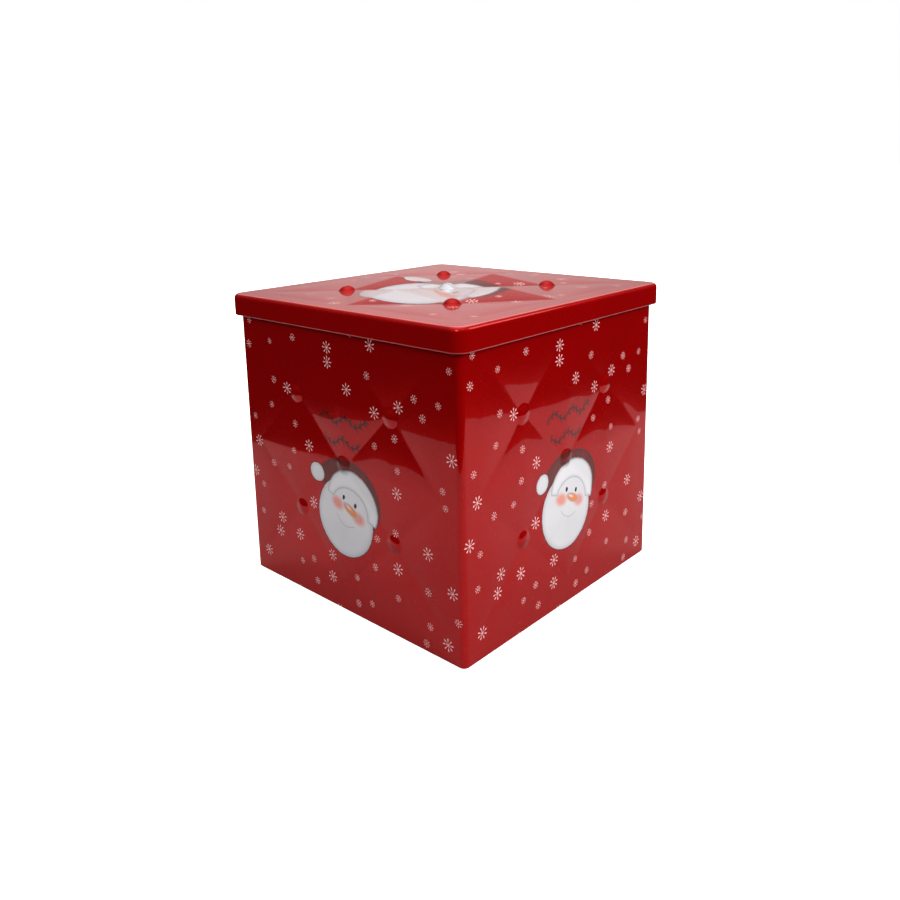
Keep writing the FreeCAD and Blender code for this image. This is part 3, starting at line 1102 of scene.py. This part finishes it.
def paleMaterial(name, colour, glow=0.0):
    material, _, shader = newMaterial(name)
    shader["Base Color"].default_value = colour
    shader["Roughness"].default_value = 0.9
    shader["Specular IOR Level"].default_value = 0.1
    shader["Emission Color"].default_value = (1, 1, 1, 1)
    shader["Emission Strength"].default_value = glow
    return material


floor = flatDisc("floor", studio["floorRadius"], (0, 0), studio["floorLevel"])
floor.data.materials.append(paleMaterial("paleFloor", studio["floorColour"], studio["floorGlow"]))
floor.visible_glossy = False
floor.visible_diffuse = False
# the gloss of the tin shows only the table round it, and the dark room past its edge
table = flatDisc("tableInGloss", studio["tableRadius"], studio["tableCentre"], studio["tableLevel"])
table.data.materials.append(paleMaterial("tablePaper", studio["tableColour"]))
table.visible_camera = False
table.visible_diffuse = False
table.visible_shadow = False
table.visible_transmission = False


def hang(name, light, place, aim, shiny):
    lamp = bpy.data.objects.new(name, light)
    lamp.location = place
    lamp.rotation_euler = (Vector(aim) - Vector(place)).to_track_quat("-Z", "Y").to_euler()
    lamp.visible_glossy = shiny
    scene.collection.objects.link(lamp)


def softbox(name, place, size, energy, shiny):
    light = bpy.data.lights.new(name, "AREA")
    light.shape = "DISK"
    light.size = size
    light.energy = energy
    hang(name, light, place, studio["aim"], shiny)


for row in studio["softboxes"]:
    softbox(*row)
overcast = bpy.data.lights.new("overcast", "SUN")
overcast.energy = studio["overcast"]
overcast.angle = math.radians(studio["overcastSpread"])
hang("overcast", overcast, (0, 0, 2), (0, 0, 0), False)


def studioWorld():
    # white all round for the eye, a bright backdrop and a dark room for what the tin mirrors
    world = bpy.data.worlds.new("studio")
    scene.world = world
    world.use_nodes = True
    tree = world.node_tree
    tree.nodes.clear()
    way = tree.nodes.new("ShaderNodeTexCoord").outputs["Generated"]
    turn, height = math.radians(studio["backdropTurn"]), math.radians(studio["backdropRise"])
    middle = (-math.sin(turn) * math.cos(height), math.cos(turn) * math.cos(height), math.sin(height))
    away = maths(tree, "SUBTRACT", 1.0, vectorMaths(tree, "DOT_PRODUCT", way, middle))
    backdrop = maths(tree, "EXPONENT", maths(tree, "DIVIDE", away, -studio["backdropSpread"]))
    belowZenith = maths(tree, "SUBTRACT", 1.0, parts(tree, way)[2])
    ceiling = maths(tree, "EXPONENT", maths(tree, "DIVIDE", belowZenith, -studio["ceilingSpread"]))
    room = mixed(tree, ceiling, (*[studio["room"]] * 3, 1), (*[studio["ceiling"]] * 3, 1))
    room = mixed(tree, backdrop, room, studio["backdropColour"])
    seen = tree.nodes.new("ShaderNodeLightPath").outputs["Is Camera Ray"]
    background = tree.nodes.new("ShaderNodeBackground")
    feed(tree, background.inputs["Color"], mixed(tree, seen, room, (1, 1, 1, 1)))
    tree.links.new(background.outputs[0], tree.nodes.new("ShaderNodeOutputWorld").inputs[0])


studioWorld()
scene.view_settings.view_transform = "Standard"


camera = {
    "turn": 42.70,
    "height": 11.77,
    "roll": -1.154,
    "distance": 0.73376,
    "aim": (-0.18462, 0.20127, 0.0711),
    "lens": 33.26,
    "shift": -0.1222,
    "filmWidth": 36,
    "clip": (0.01, 50),
}


def studioCamera():
    data = bpy.data.cameras.new("camera")
    data.lens = camera["lens"]
    data.sensor_width = camera["filmWidth"]
    data.shift_y = camera["shift"]
    data.clip_start, data.clip_end = camera["clip"]
    eye = bpy.data.objects.new("camera", data)
    scene.collection.objects.link(eye)
    turn, height = math.radians(camera["turn"]), math.radians(camera["height"])
    back = Vector((math.sin(turn) * math.cos(height), -math.cos(turn) * math.cos(height), math.sin(height)))
    eye.location = Vector(camera["aim"]) + camera["distance"] * back
    eye.rotation_mode = "QUATERNION"
    level = (-back).to_track_quat("-Z", "Y")
    eye.rotation_quaternion = level @ Matrix.Rotation(math.radians(camera["roll"]), 3, "Z").to_quaternion()
    scene.camera = eye


studioCamera()
print("studio made")
